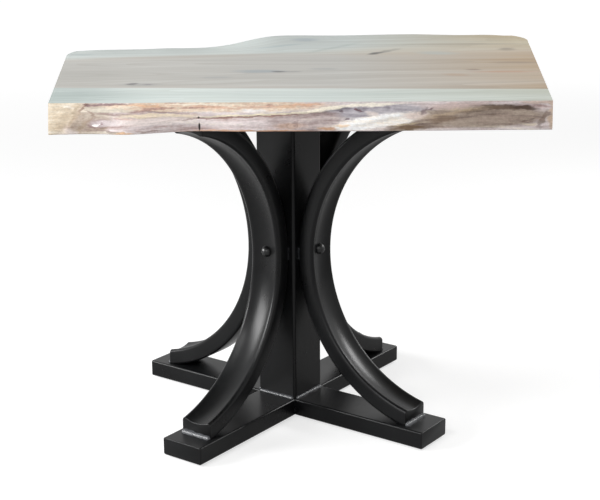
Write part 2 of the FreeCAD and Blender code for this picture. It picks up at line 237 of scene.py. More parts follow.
# %% [markdown]
# ## Two boards with a natural edge
#
# A live edge could be a plain swept profile with a bump, but its outline against the light is what
# tells it from a moulding. So the skin is a fine grid that is pressed onto the CAD board, then
# carved: long flowing ridges 11 mm apart, finer ones, slow lumps, a gnarled patch, a rib that
# rises to the right and the hollow left by a limb. The height of the ridges is kept on the mesh
# for the finish, with a painted highlight on the rib and painted shade in the grooves under the
# upper layer and under the shelf. From the carved skin the board is drawn back, and sawn at its
# ends and seams.

# %% Where the boards meet
slab_under, slab_top = [corner.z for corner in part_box("top_board_middle")]
hair = 0.05 * MM  # places closer than this count as the same


def top_corner(node, x_side, y_side):
    """The corner of a board's top face that lies furthest towards the given sides."""
    rim = [v.co for v in nodes[node].data.vertices if v.co.z > slab_top - 2 * hair]
    return max(rim, key=lambda co: x_side * co.x + y_side * co.y).copy()


def cut_line(a, b, away):
    """A point and the level normal of the upright plane through two corners, facing a direction."""
    along = b - a
    normal = Vector((along.y, -along.x, 0)).normalized()
    return a.copy(), normal if normal.dot(Vector(away)) > 0 else -normal


corners = {(x, y): top_corner("top_board_middle", x, y) for x in (-1, 1) for y in (-1, 1)}
left_cut = cut_line(corners[-1, -1], corners[-1, 1], (-1, 0, 0))
right_cut = cut_line(corners[1, -1], corners[1, 1], (1, 0, 0))
seam_cuts = {-1: cut_line(corners[-1, -1], corners[1, -1], (0, 1, 0)),
             1: cut_line(corners[-1, 1], corners[1, 1], (0, -1, 0))}


def round_cuts(x_side, start_y, radius, sweep=48, strokes=8):
    """Planes that round an end into the rear edge, as a plane is taken round a corner."""
    front, back = corners[x_side, -1], corners[x_side, 1]
    first = front + (back - front) * ((start_y - front.y) / (back.y - front.y))
    outwards = (left_cut if x_side < 0 else right_cut)[1]
    centre = first - outwards * radius
    turns = [Matrix.Rotation(math.radians(x_side * sweep * (k + 1) / strokes), 3, "Z")
             for k in range(strokes)]
    return [(centre + turn @ outwards * radius, turn @ outwards) for turn in turns]


rear_rounds = round_cuts(-1, 154.9 * MM, 180 * MM) + round_cuts(1, 385.4 * MM, 156 * MM)
print("middle board's corners:", [tuple(round(c, 3) for c in v) for v in corners.values()])

# %% Carving tools
def fade(low, high, value):
    """0 below low, 1 above high, smooth between."""
    t = min(max((value - low) / (high - low), 0.0), 1.0)
    return t * t * (3 - 2 * t)


def hump(x, down, x_middle, down_middle, x_reach, down_reach, turn=0.0):
    """1 in the middle of an ellipse on the edge, 0 outside it."""
    a = (x - x_middle) * math.cos(turn) + (down - down_middle) * math.sin(turn)
    b = (down - down_middle) * math.cos(turn) - (x - x_middle) * math.sin(turn)
    return 1 - fade(0.0, 1.0, math.sqrt((a / x_reach) ** 2 + (b / down_reach) ** 2))


def wave(x, seed, up=0.0):
    """A smooth chance height from -1 to 1."""
    return noise.noise(Vector((x, seed, up)))


def flowing(x, down, seed):
    """The skin's relief along the log: coarse ridges, fine ridges and slow lumps, -1 to 1."""
    flow = down + 9 * MM * wave(x / 0.16, seed) + 4 * MM * wave(x / 0.06, seed, 5)
    coarse = wave(x / 0.20, seed + 1, flow / (11 * MM))
    fine = wave(x / 0.06, seed + 2, flow / (4.5 * MM))
    lump = wave(x / 0.10, seed + 3, down / (38 * MM))
    return coarse, fine, lump


def lip_depth(x):
    """How far below the top the upper layer of the front edge ends, along the edge."""
    points = [(-0.400, 20), (-0.330, 23), (-0.198, 26), (0.022, 18), (0.108, 4)]
    for (xa, da), (xb, db) in zip(points, points[1:]):
        if x <= xb:
            return (da + (db - da) * min(max((x - xa) / (xb - xa), 0), 1)) * MM
    return points[-1][1] * MM


def undercut(down, lip, reach):
    """A groove that is steep under its lip and fades out below: 1 at its deepest, 0 elsewhere."""
    return fade(lip, lip + 2 * MM, down) * (1 - fade(lip + 3 * MM, lip + reach, down))


print("upper layer ends", round(lip_depth(0) / MM, 1), "mm below the top at the middle")

# %% The two skins
# small pits where buds died: x, depth and half height in mm
bud_pits = [(0.062, 18, 4), (0.0933, 13, 4), (0.0714, 30, 3), (0.2106, 21, 4), (0.2197, 13, 4),
            (0.150, 12, 4)]


def front_skin(x, down):
    """How far the front skin stands out, in metres, and the height of its ridges from 0 to 1, which
    also carries a painted highlight on the rib and painted shade in the grooves under the upper
    layer and the shelf.
    """
    coarse, fine, lump = flowing(x, down, 3.1)
    knobs = wave(x / 0.016, 7.7, down / (9 * MM))
    sawn = 1 - fade(-0.420, -0.405, x + 0.706 * down)
    gnarl = hump(x, down, 0.115, 17 * MM, 0.13, 17 * MM)
    hollow = hump(x, down, 0.325, 22 * MM, 0.165, 18 * MM, -0.01)
    rib = hump(x, down, 0.1155, 32.5 * MM, 0.085, 8 * MM, -0.181)
    crack = hump(x, down, -0.2006, 45 * MM, 1.6 * MM, 9 * MM)
    step = undercut(down, lip_depth(x), 14 * MM) * fade(-0.39, -0.34, x) * (1 - fade(0.06, 0.10, x))
    shelf = undercut(down, 5 * MM, 16 * MM) * fade(0.27, 0.33, x) * (1 - fade(0.425, 0.445, x))
    pits = sum(hump(x, down, pit_x, d * MM, r * 1.3 * MM, r * MM) for pit_x, d, r in bud_pits)
    # how far each form stands out or lies in, in mm, and its share in the height of the ridges
    out = (1.3 * coarse + 0.45 * fine) * (1 - 0.85 * sawn) + 2.0 * lump * (1 - sawn)
    out += 1.6 * knobs * gnarl + 2.6 * rib
    out -= 4.5 * hollow + 1.4 * sawn + 1.2 * crack + 2.2 * step + 2.6 * shelf + 1.5 * pits
    height = 0.5 + 0.40 * coarse + 0.20 * fine + 0.25 * knobs * gnarl
    # the rib is lightened as a painted highlight, and the grooves under the upper layer and the
    # shelf are darkened as painted shade
    height += 0.2 * rib - 0.25 * step - 0.15 * shelf
    return out * MM, height


def rear_skin(x, down):
    """The same for the rear edge, which has no hollow."""
    coarse, fine, lump = flowing(x, down, 11.4)
    knobs = wave(x / 0.016, 1.7, down / (9 * MM))
    gnarl = hump(x, down, -0.16, 24 * MM, 0.14, 26 * MM)
    out = 1.4 * coarse + 0.45 * fine + 2.0 * lump + 1.4 * knobs * gnarl
    return out * MM, 0.5 + 0.42 * coarse + 0.22 * fine + 0.2 * knobs * gnarl


print("hollow is", round(-front_skin(0.325, 22 * MM)[0] / MM, 1), "mm deep")

# %% Press a grid onto the edge and carve it
far_out = 0.9        # the grid starts clear of the slab
end_gap = 6 * MM     # and ends short of the board's corners, where the saw will cut
still_end = 20 * MM  # the outer ends of the skin slide no further along the board
ease = 1.5 * MM      # the rims of the skin are eased by this much


def pressed_grid(node, name, side, columns, rows=24):
    """An upright grid, pressed onto the natural edge of a CAD board from outside."""
    ends = sorted(top_corner(node, x, side).x for x in (-1, 1))
    x0, x1 = ends[0] + end_gap, ends[1] - end_gap
    board = start(bpy.ops.mesh.primitive_grid_add, name,
                  (x1 - x0, slab_top - slab_under - 2 * ease, 1), size=1,
                  x_subdivisions=columns, y_subdivisions=rows,
                  location=((x0 + x1) / 2, side * far_out, (slab_top + slab_under) / 2),
                  rotation=(math.radians(-90 * side), 0, 0))
    press = board.modifiers.new("press", "SHRINKWRAP")
    press.target = nodes[node]
    press.wrap_method = "PROJECT"
    press.use_project_y = True
    press.use_negative_direction = side > 0
    press.use_positive_direction = side < 0
    bpy.ops.object.modifier_apply(modifier=press.name)
    missed = sum(abs(v.co.y) > far_out - 50 * MM for v in board.data.vertices)
    print(name, "grid points that missed the board:", missed)
    return board, x0, x1


def carve(board, skin, x0, x1):
    """Push each point of the skin out or in, and keep the height of the ridges, with its painted
    light and shade, on the mesh.
    """
    pushes, heights = [], []
    for vertex in board.data.vertices:
        out, height = skin(vertex.co.x, slab_top - vertex.co.z)
        push = Vector((vertex.normal.x, vertex.normal.y, 0)).normalized() * out
        push.x *= fade(0, still_end, min(vertex.co.x - x0, x1 - vertex.co.x))
        pushes.append(push)
        heights.append(height)
    for vertex, push in zip(board.data.vertices, pushes):
        vertex.co += push
    ridge_and_painted_light = board.data.attributes.new("ridge_and_painted_light", "FLOAT", "POINT")
    ridge_and_painted_light.data.foreach_set("value", heights)


# %% Draw the board back and saw it out
past_seam = 0.6       # the board is drawn back beyond its seam,
raw_end = 120 * MM    # and its ends are moved out, before the saw
skin_from = 0.1       # the skin lies further than this from the middle of the slab
rim_steps = [(0.5 * MM, 1.0 * MM), (1.0 * MM, 0.5 * MM), (past_seam, 0.0)]  # back and up or down


def draw_back(board, side, x0, x1):
    """Make the skin a solid board, and saw it to the outline of the CAD board."""
    cuts = [left_cut, right_cut, seam_cuts[side]]
    with editing(board):
        for upwards, row in ((1, slab_top - ease), (-1, slab_under + ease)):
            for back, rise in rim_steps:
                pick(board, lambda co: abs(co.z - row) < hair and abs(co.y) > skin_from)
                move = (0, -side * back, upwards * rise)
                bpy.ops.mesh.extrude_edges_move(TRANSFORM_OT_translate={"value": move})
                row += upwards * rise
        pick(board, lambda co: side * co.y < skin_from
             and min(abs(co.z - slab_top), abs(co.z - slab_under)) < hair)
        bpy.ops.mesh.bridge_edge_loops()
        for x_side, rim in ((-1, x0), (1, x1)):
            pick(board, lambda co: x_side * (co.x - rim) > -0.5 * MM)
            bpy.ops.transform.translate(value=(x_side * raw_end, 0, 0))
        for cut in cuts + (rear_rounds if side > 0 else []):
            saw(*cut)
        point_out()

    for face in board.data.polygons:
        middle = face.center
        flat = middle.z > slab_top - hair or middle.z < slab_under + hair
        sawn = any(abs((middle - place).dot(normal)) < 0.2 * MM
                   for place, normal in cuts + rear_rounds)
        face.material_index = 0 if flat or sawn else 1
    smooth(board, 50)


def natural_board(node, name, side, skin, columns):
    board, x0, x1 = pressed_grid(node, name, side, columns)
    carve(board, skin, x0, x1)
    draw_back(board, side, x0, x1)
    return board


front_board = natural_board("top_board_front", "front_board", -1, front_skin, 460)
rear_board = natural_board("top_board_rear", "rear_board", 1, rear_skin, 540)
print("faces of the boards:", len(front_board.data.polygons), len(rear_board.data.polygons))

# %% [markdown]
# ## Bent legs
#
# Each leg is a length of 3 by 1.5 inch rectangular tube, rolled to a bow of some 31 cm radius.
# Rolling draws the outer wall in, which leaves the long dish that catches the light. The leg
# could be swept along a curve, but a spin about the centre of the bow is how the rolls work,
# and it keeps the section true. The section is a plane with rounded corners whose outer edge is
# divided and pressed in. The ends are sawn level with the foot and the bar, and the nose is cut
# square and closed by a small plate with ground edges.

# %% Sizes of the pedestal
pedestal_turn = 8.8  # degrees, against the slab
arms = {"front_right": pedestal_turn - 45, "rear_right": pedestal_turn + 45,
        "rear_left": pedestal_turn + 135, "front_left": pedestal_turn + 225}
post_low, post_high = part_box("center_post")
post_axis = (post_low + post_high) / 2
foot_top = post_low.z
bar_under = post_high.z
mid_height = (foot_top + bar_under) / 2
post_half = 50.8 * MM
leg_width = 76.2 * MM
leg_depth = 38.1 * MM
leg_corner = 8.0 * MM
leg_dish = 6.0 * MM
nose_height = 33.0 * MM
nose_plate = 3.0 * MM
nose_ground = 1.6 * MM
bow_share = 0.8012  # how far the bow runs out for each metre that it rises

face_reach = post_half + leg_depth
nose_rise = mid_height - foot_top - nose_height
nose_run = bow_share * nose_rise
nose_reach = face_reach + nose_run
bow_radius = (nose_run ** 2 + nose_rise ** 2) / (2 * nose_run)
bow_centre = face_reach + bow_radius
print("nose at", round(nose_reach, 4), "m, bow radius", round(bow_radius, 4), "m")

# %% Model the bow
def bowed_tube(name):
    """A half turn of dished tube about the centre of the bow."""
    outer = mid_height - bow_radius
    tube = start(bpy.ops.mesh.primitive_plane_add, name, (leg_depth, leg_width, 1), size=1,
                 location=(bow_centre, 0, outer - leg_depth / 2),
                 rotation=(0, math.radians(90), 0))
    with editing(tube):
        bpy.ops.mesh.select_all(action="SELECT")
        bpy.ops.mesh.bevel(offset=leg_corner, segments=7, affect="VERTICES")
        pick(tube, lambda co: abs(co.z - outer) < hair, "EDGE")
        bpy.ops.mesh.subdivide(number_cuts=15)
        dish_half = leg_width / 2 - leg_corner
        dish_radius = (dish_half ** 2 + leg_dish ** 2) / (2 * leg_dish)
        for vertex in bmesh.from_edit_mesh(tube.data).verts:
            if abs(vertex.co.z - outer) < hair:
                arc = math.sqrt(dish_radius ** 2 - vertex.co.y ** 2)
                vertex.co.z -= arc - (dish_radius - leg_dish)
        bmesh.update_edit_mesh(tube.data)
        bpy.ops.mesh.select_all(action="SELECT")
        bpy.ops.mesh.spin(steps=112, angle=-math.pi, center=(bow_centre, 0, mid_height),
                          axis=(0, 1, 0))
        bpy.ops.mesh.remove_doubles(threshold=0.001 * MM)
    if min(v.co.x for v in tube.data.vertices) > bow_centre - bow_radius:
        raise RuntimeError("the bow turned the wrong way")
    return tube


def sawn_copy(tube, name, cuts):
    """A copy of the bow, cut by planes."""
    copy = copy_of(tube, name)
    with editing(copy):
        for cut in cuts:
            saw(*cut)
        point_out()
    return copy


def ease_nose(plate, reach, width):
    """Grind the rim of a plate's outer face round."""
    with editing(plate):
        pick(plate, lambda co: abs(co.x - reach) < hair, "FACE")
        bpy.ops.mesh.region_to_loop()
        bpy.ops.mesh.bevel(offset=width, segments=3, profile=0.5)
        point_out()
    smooth(plate, 40)


bow = bowed_tube("bow_pattern")
print("bow pattern has", len(bow.data.polygons), "faces")

# %% Saw the legs and their end plates, and copy them to the four arms
def to_arm(arm):
    """The move that takes a piece built along +X to one arm of the pedestal."""
    turn = Matrix.Rotation(math.radians(arms[arm]), 4, "Z")
    return Matrix.Translation((post_axis.x, post_axis.y, 0)) @ turn


def on_arms(pattern, name, node, move=Matrix()):
    """Copies of a pattern on all arms, each with the CAD node that it stands for."""
    pairs = []
    for arm in arms:
        copy = copy_of(pattern, name + arm)
        copy.data.transform(to_arm(arm) @ move)
        pairs.append((copy, node + arm))
    return pairs


plate_back = nose_reach - nose_plate
low_cut = ((0, 0, foot_top), (0, 0, -1))
high_cut = ((0, 0, bar_under), (0, 0, 1))
plate_cuts = [((plate_back, 0, 0), (-1, 0, 0)), ((nose_reach, 0, 0), (1, 0, 0))]
leg_cuts = [low_cut, high_cut, ((plate_back, 0, 0), (1, 0, 0))]
toe_cuts = [low_cut, ((0, 0, mid_height), (0, 0, 1))] + plate_cuts
head_cuts = [high_cut, ((0, 0, mid_height), (0, 0, -1))] + plate_cuts
steel_pieces = []
for name, node, cuts in (("bent_leg_", "leg_", leg_cuts), ("toe_", "toe_plate_", toe_cuts),
                         ("head_", "head_plate_", head_cuts)):
    pattern = sawn_copy(bow, name + "pattern", cuts)
    if cuts is leg_cuts:
        smooth(pattern, 35)
    else:
        ease_nose(pattern, nose_reach, nose_ground)
    steel_pieces += on_arms(pattern, name, node)
    put_away(pattern)
put_away(bow)
print("legs and plates:", [piece.name for piece, node in steel_pieces])

# %% [markdown]
# ## Caps on the feet
#
# The feet are flat rectangular tube, closed by welded caps whose rims were ground smooth. The CAD
# caps are sharp slabs. A cube cut to size could keep that sharpness, but it is the ground rim that
# draws the thin light line in the photograph, so its four long edges get the tube's 4 mm corner
# and the outer rim a rounding of 2 mm.

# %% Model the foot caps
foot_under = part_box("foot_tube_long")[0].z
foot_half = 50.8 * MM
foot_middle = (foot_under + foot_top) / 2
foot_reach = nose_reach + 48.0 * MM  # the feet stand out this far beyond the noses
foot_corner = 4.0 * MM
cap_thickness = 3.0 * MM
cap_pattern = start(bpy.ops.mesh.primitive_cube_add, "cap_pattern",
                    (cap_thickness, 2 * foot_half, foot_top - foot_under), size=1,
                    location=(foot_reach - cap_thickness / 2, 0, foot_middle))
with editing(cap_pattern):
    for side in (-1, 1):
        for level in (foot_under, foot_top):
            pick(cap_pattern, lambda co: abs(co.y - side * foot_half) < hair
                 and abs(co.z - level) < hair, "EDGE")
            bpy.ops.mesh.bevel(offset=foot_corner, segments=5)
ease_nose(cap_pattern, foot_reach, 2.0 * MM)
steel_pieces += on_arms(cap_pattern, "cap_", "foot_cap_")
put_away(cap_pattern)
print("pieces of black steel modelled here:", len(steel_pieces))

# %% [markdown]
# ## Weld beads
#
# A bead is a row of puddles, each frozen a little over the one before, like a row of tipped coins.
# A smooth fillet with a bump would lose the ripple in its outline. So one puddle is a flattened
# ball, cut to the quarter that stands in the corner of the two plates, and an array lays
# it along the seam, 2 to 3 mm apart. Each puddle then comes out a little larger or smaller.

# %% Model one bead
most_swell = 0.30  # a puddle is up to this share larger or smaller


def bead(name, reach_out, reach_up, length, pitch):
    """A bead along Y in the corner of x = 0 and z = 0."""
    count = int(length / pitch)
    puddle = start(bpy.ops.mesh.primitive_uv_sphere_add, name,
                   (reach_out, reach_up, pitch * 1.5), segments=16, ring_count=10, radius=1,
                   location=(0, -pitch * (count - 1) / 2, 0), rotation=(math.radians(90), 0, 0))
    with editing(puddle):
        saw((0, 0, 0), (0, 0, -1))
        saw((0, 0, 0), (-1, 0, 0))
        point_out()
    row = puddle.modifiers.new("row", "ARRAY")
    row.use_relative_offset = False
    row.use_constant_offset = True
    row.constant_offset_displace = (0, pitch, 0)
    row.count = count
    bpy.ops.object.modifier_apply(modifier=row.name)
    seed = length * 900
    for vertex in puddle.data.vertices:
        swell = 1 + most_swell * wave(vertex.co.y / (3.2 * pitch), seed, 0.5)
        vertex.co.x *= swell
        vertex.co.z *= swell
    smooth(puddle, 60)
    return puddle


def place_beads(pattern, name, moves):
    """Copies of a bead on all arms, joined to one piece."""
    copies = [piece for move in moves for piece, node in on_arms(pattern, name, "", move)]
    use(copies[0])
    for copy in copies:
        copy.select_set(True)
    bpy.ops.object.join()
    joined = bpy.context.object
    joined.name = name
    with editing(joined):
        point_out()
    put_away(pattern)
    return joined


# %% Lay all the beads
at = Matrix.Translation
over = Matrix.Diagonal((1, 1, -1, 1))
across = Matrix.Diagonal((1, -1, 1, 1))
upright = Matrix.Rotation(math.radians(90), 4, "X")
stitch = at((post_half, leg_width / 2 - 1.0 * MM, mid_height))
corner = at((foot_half, foot_half, foot_middle))
# each row: name, node, sizes in mm (reach out, reach up, length, pitch), places on an arm
bead_rows = [
    ("toe_beads", "weld_toes", (8.0, 7.5, 70, 3.0), [at((nose_reach, 0, foot_top))]),
    ("head_beads", "weld_heads", (8.0, 7.5, 70, 3.0), [at((nose_reach, 0, bar_under)) @ over]),
    ("post_base_beads", "weld_post_base", (5.0, 5.0, 89, 2.4), [at((post_half, 0, foot_top))]),
    ("post_crown_beads", "weld_post_top", (5.0, 5.0, 89, 2.4),
     [at((post_half, 0, bar_under)) @ over]),
    ("foot_corner_beads", "weld_foot_corners", (4.0, 4.0, 29, 2.2), [corner @ upright]),
    ("side_stitch_beads", "weld_stitches", (8.5, 4.5, 23, 2.6),
     [stitch @ upright, across @ stitch @ upright]),
]
weld_pieces = []
for name, node, sizes, moves in bead_rows:
    pattern = bead("bead_pattern", *[size * MM for size in sizes])
    weld_pieces.append((place_beads(pattern, name, moves), node))
print("faces of the beads:", [len(piece.data.polygons) for piece, node in weld_pieces])

# %% [markdown]
# ## Satin black powder coat
#
# The pedestal is mild steel, sprayed with black polyester powder and baked. The eye sees a very
# dark film with a soft sheen, a fine orange peel where the powder flowed together, and slightly
# duller patches where it was handled. A plain black would look like a hole, so the roughness
# drifts over some 12 cm and the peel is a bump of about 1.5 mm. The film reflects less than bare
# gloss paint, which the low specular level stands for.

# %% Powder coat
def powder_coat(name, body, rub, roughness, level, peel_mm=1.5, peel_depth=0.04):
    material, add, place = new_material(name)
    patches = add("TexNoise", {"Vector": place, "Scale": 1 / (120 * MM), "Detail": 3.0,
                               "Roughness": 0.6})
    film = add("ValToRGB", {"Fac": patches}, [(0.35, body), (0.75, rub)])
    sheen = add("MapRange", {"Value": patches, "From Min": 0.3, "From Max": 0.7,
                             "To Min": roughness - 0.03, "To Max": roughness + 0.05})
    peel = add("TexNoise", {"Vector": place, "Scale": 1 / (peel_mm * MM), "Detail": 1.0})
    bump = add("Bump", {"Height": peel, "Strength": peel_depth, "Distance": 0.2 * MM})
    shader = add("BsdfPrincipled", {"Base Color": film, "Roughness": sheen,
                                    "Specular IOR Level": level, "Normal": bump})
    add("OutputMaterial", {"Surface": shader})
    return material


steel_black = powder_coat("satin_black_powder_coat", "#0b0b0c", "#101112", 0.29, 0.19)
# a bead wears the same black powder coat; its colour is set lighter as a painted sheen for the
# glints of its ripples, and its film is glossier
weld_black = powder_coat("powder_coated_weld_bead_painted_sheen", "#3c3e41", "#505256", 0.24, 0.80, 0.8, 0.10)
bolt_black = powder_coat("black_coated_bolt_steel", "#0d0d0e", "#141415", 0.34, 0.40, 0.6, 0.03)
print("powder coats:", steel_black.name, weld_black.name, bolt_black.name)

# %% [markdown]
# ## Zinc plate and nylon
#
# The screws, washers, inserts, nuts and glide stems are zinc plated steel: a bare metal with a
# slightly cloudy shine. The pads under the glides are black nylon 6, moulded, with the fine matt
# texture of a spark-eroded mould. Both could be one flat colour, but a cloud some 6 mm wide and a
# grit of 0.5 mm keep them from looking like plaster when the part is seen from close by.

# %% Zinc plate and nylon
def zinc_plate(name):
    material, add, place = new_material(name)
    cloud = add("TexNoise", {"Vector": place, "Scale": 1 / (6 * MM), "Detail": 4.0})
    tone = add("ValToRGB", {"Fac": cloud}, [(0.3, "#b9bcc0"), (0.7, "#d6d8da")])
    shine = add("MapRange", {"Value": cloud, "To Min": 0.26, "To Max": 0.42})
    shader = add("BsdfPrincipled", {"Base Color": tone, "Metallic": 1.0, "Roughness": shine})
    add("OutputMaterial", {"Surface": shader})
    return material


def moulded_nylon(name):
    material, add, place = new_material(name)
    grit = add("TexNoise", {"Vector": place, "Scale": 1 / (0.5 * MM), "Detail": 2.0})
    tone = add("ValToRGB", {"Fac": grit}, [(0.3, "#141414"), (0.7, "#1f1f1f")])
    bump = add("Bump", {"Height": grit, "Strength": 0.2, "Distance": 0.1 * MM})
    shader = add("BsdfPrincipled", {"Base Color": tone, "Roughness": 0.58, "IOR": 1.53,
                                    "Normal": bump})
    add("OutputMaterial", {"Surface": shader})
    return material


zinc_steel = zinc_plate("zinc_plated_steel")
pad_nylon = moulded_nylon("moulded_nylon")
print("small materials:", zinc_steel.name, pad_nylon.name)

# %% [markdown]
# ## Patterns that all the wood shares
#
# Three patterns come back in every finish of the wood: a noise drawn out along the grain, a place
# that strays to and fro so that rims turn ragged, and a soft patch of another colour. Each could
# be built anew where it is used, but a helper of two or three nodes keeps the finishes readable.

# %% Pattern helpers
def drawn_out(add, place, scale, detail, roughness=0.5, location=(0, 0, 0)):
    """A noise that is drawn out along the grain; scale is how fine it is along, across and up."""
    stretched = add("Mapping", {"Vector": place, "Location": location, "Scale": scale})
    return add("TexNoise", {"Vector": stretched, "Scale": 1.0, "Detail": detail,
                            "Roughness": roughness})


def stray(add, place, chance, reach):
    """A place moved to and fro by a noise; reach is the whole swing in each direction."""
    shift = add("Mapping", {"Vector": chance.outputs["Color"], "Scale": reach,
                            "Location": [-swing / 2 for swing in reach]})
    return add("VectorMath", {0: place, 1: shift}, operation="ADD")


def patch(add, place, centre, half, turn, low, high, strength):
    """A soft ellipse: strength inside, 0 outside, fading between two shares of its depth."""
    spot = add("Mapping", {"Vector": place, "Location": centre, "Scale": half,
                           "Rotation": [math.radians(a) for a in turn]}, vector_type="TEXTURE")
    ball = add("TexGradient", {"Vector": spot}, gradient_type="SPHERICAL")
    return add("MapRange", {"Value": ball.outputs["Fac"], "From Min": low, "From Max": high,
                            "To Max": strength}, interpolation_type="SMOOTHSTEP")


print("pattern helpers:", [helper.__name__ for helper in (drawn_out, stray, patch)])

# %% [markdown]
# ## Sanded hardwood under a clear matt oil
#
# The slab is three boards of a pale hardwood, edge glued, with their grain from left to right.
# The sapwood at the front is nearly white, the heart in the middle is grey-brown, and towards the
# right end the heart turns tan. A photograph of wood could be laid on, but a built pattern holds
# from every side. Four things make it: a slow drift of tone, growth rings that the saw cut at
# a low angle (contour lines of a soft noise), fibres about 3 mm apart, drawn coarser than real so
# that they show, and single knots, stains and cracks with ragged rims that the fibres comb
# through. Where the log swells the grain spreads with it. The cut ends show the rings as arcs.

# %% The wandering grain and the sawn ends
squeeze_line = 0.10  # y of the line that the grain spreads from
fibre_gap = 3.2 * MM
pore_gap = 1.6 * MM
ring_gap = 3.927 * MM


def grain(add, place, seed, squeeze):
    """The place on the board, shifted so that straight patterns wander and spread on it."""
    wander = drawn_out(add, place, (1.6, 2.4, 2.4), 2.0, location=(seed, seed, 0))
    shift = add("MapRange", {"Value": wander, "From Min": 0.2, "From Max": 0.8,
                             "To Min": -45 * MM, "To Max": 45 * MM})
    sideways = add("CombineXYZ", {"Y": shift})
    x, y, z = add("SeparateXYZ", {"Vector": place}).outputs
    # on the narrow left part of the log the pattern is squeezed towards a line near the rear seam
    spread = add("MapRange", {"Value": x, "From Min": -0.26, "From Max": -0.03,
                              "To Min": squeeze}, interpolation_type="SMOOTHSTEP")
    from_seam = add("Math", {0: y, 1: squeeze_line}, operation="SUBTRACT")
    spread_y = add("Math", {0: from_seam, 1: spread}, operation="MULTIPLY")
    spread_place = add("CombineXYZ", {"X": x, "Y": spread_y, "Z": z})
    return add("VectorMath", {0: spread_place, 1: sideways}, operation="ADD")


def end_grain(add, place, bent):
    """Rings about a pith that lay a hand's width under the slab, with pores."""
    about_pith = add("Mapping", {"Vector": bent, "Location": (0, 0.05, -0.62)})
    # the wave pattern has 20 x scale / tau rings in a metre
    rings = add("TexWave", {"Vector": about_pith, "Scale": math.tau / (20 * ring_gap),
                            "Distortion": 5.0, "Detail": 3.0, "Detail Scale": 0.25},
                wave_type="RINGS", rings_direction="X", wave_profile="SAW")
    pores = drawn_out(add, place, (40.0, 1 / pore_gap, 1 / pore_gap), 2.0)
    ringed = add("Math", {0: rings.outputs["Fac"], 1: 0.55}, operation="MULTIPLY")
    value = add("Math", {0: pores, 1: 0.5, 2: ringed}, operation="MULTIPLY_ADD")
    return add("ValToRGB", {"Fac": value}, [(0.2, "#a39683"), (0.5, "#8c7e6c"), (0.8, "#65584a")])


def on_ends(add):
    """1 on faces that look along the board, 0 elsewhere."""
    facing = add("SeparateXYZ", {"Vector": add("NewGeometry").outputs["True Normal"]})
    sideways = add("Math", {0: facing.outputs["X"]}, operation="ABSOLUTE")
    return add("Math", {0: sideways, 1: 0.8}, operation="GREATER_THAN")


print("mm between fibres, pores, rings:", [gap / MM for gap in (fibre_gap, pore_gap, ring_gap)])

# %% Hardwood
tan_full = 0.50        # the heart is fully tan from this place along the board
oil_roughness = 0.50


def hardwood(name, pale, deep, ring, tan, tan_from, tan_share, marks, seed, squeeze=1.0):
    material, add, place = new_material(name)
    bent = grain(add, place, seed, squeeze)

    # broad bands along the board
    bands = drawn_out(add, bent, (0.7, 13.0, 13.0), 3.0, 0.55, (seed, 0, 0))
    tone = add("ValToRGB", {"Fac": bands}, [(0.32, deep), (0.62, pale)])

    # growth rings: thin darker contour lines of a soft noise
    hill = drawn_out(add, bent, (0.55, 4.2, 4.2), 1.5, 0.4, (0, seed, 0))
    turns = add("Math", {0: hill, 1: 26.0}, operation="MULTIPLY")
    contour = add("Math", {0: turns}, operation="FRACT")
    late = add("MapRange", {"Value": contour, "From Min": 0.45, "To Max": 0.42})
    # a Mix node takes two colours at its inputs 6 and 7 and gives the mixture at its output 2
    ringed = add("Mix", {0: late, 6: tone, 7: ring}, data_type="RGBA").outputs[2]

    # fibres
    fibres = drawn_out(add, bent, (7.0, 1 / fibre_gap, 1 / fibre_gap), 4.0, 0.65)
    shade = add("MapRange", {"Value": fibres, "From Min": 0.3, "From Max": 0.7,
                             "To Min": 0.85, "To Max": 1.08})
    fibred = add("VectorMath", {0: ringed, 3: shade}, operation="SCALE")

    # the heart turns tan towards the right end, in streaks
    along = add("SeparateXYZ", {"Vector": place}).outputs["X"]
    tan_edge = add("MapRange", {"Value": along, "From Min": tan_from, "From Max": tan_full,
                                "To Max": tan_share})
    tan_streak = add("MapRange", {"Value": bands, "From Min": 0.35, "From Max": 0.65,
                                  "To Min": 1.15, "To Max": 0.65})
    tanned = add("Math", {0: tan_edge, 1: tan_streak}, operation="MULTIPLY", use_clamp=True)
    colour = add("Mix", {0: tanned, 6: fibred, 7: tan}, data_type="RGBA",
                 blend_type="MULTIPLY").outputs[2]

    # knots, mineral streaks, cracks and broad darker patches: soft ellipses with ragged rims,
    # combed by the fibres
    ragged = stray(add, place, drawn_out(add, place, (22.0, 90.0, 90.0), 4.0),
                   (32 * MM, 18 * MM, 0))
    combed = add("MapRange", {"Value": fibres, "From Min": 0.35, "From Max": 0.6,
                              "To Min": 1.1, "To Max": 0.55})
    for x, y, half_length, half_width, turn, strength, dark in marks:
        spot = patch(add, ragged, (x, y, slab_top), (half_length, half_width, 60 * MM),
                     (0, 0, turn), 0.05, 0.75, strength)
        held = add("Math", {0: spot, 1: combed}, operation="MULTIPLY", use_clamp=True)
        colour = add("Mix", {0: held, 6: colour, 7: dark}, data_type="RGBA").outputs[2]

    surface = add("Mix", {0: on_ends(add), 6: colour, 7: end_grain(add, place, bent)},
                  data_type="RGBA").outputs[2]
    bump = add("Bump", {"Height": fibres, "Strength": 0.22, "Distance": 0.3 * MM})
    gloss = add("MapRange", {"Value": fibres, "From Min": 0.3, "From Max": 0.7,
                             "To Min": oil_roughness - 0.05, "To Max": oil_roughness + 0.07})
    shader = add("BsdfPrincipled", {"Base Color": surface, "Roughness": gloss,
                                    "Specular IOR Level": 0.35, "Normal": bump})
    add("OutputMaterial", {"Surface": shader})
    return material


print("hardwood is fully tan at x =", tan_full)

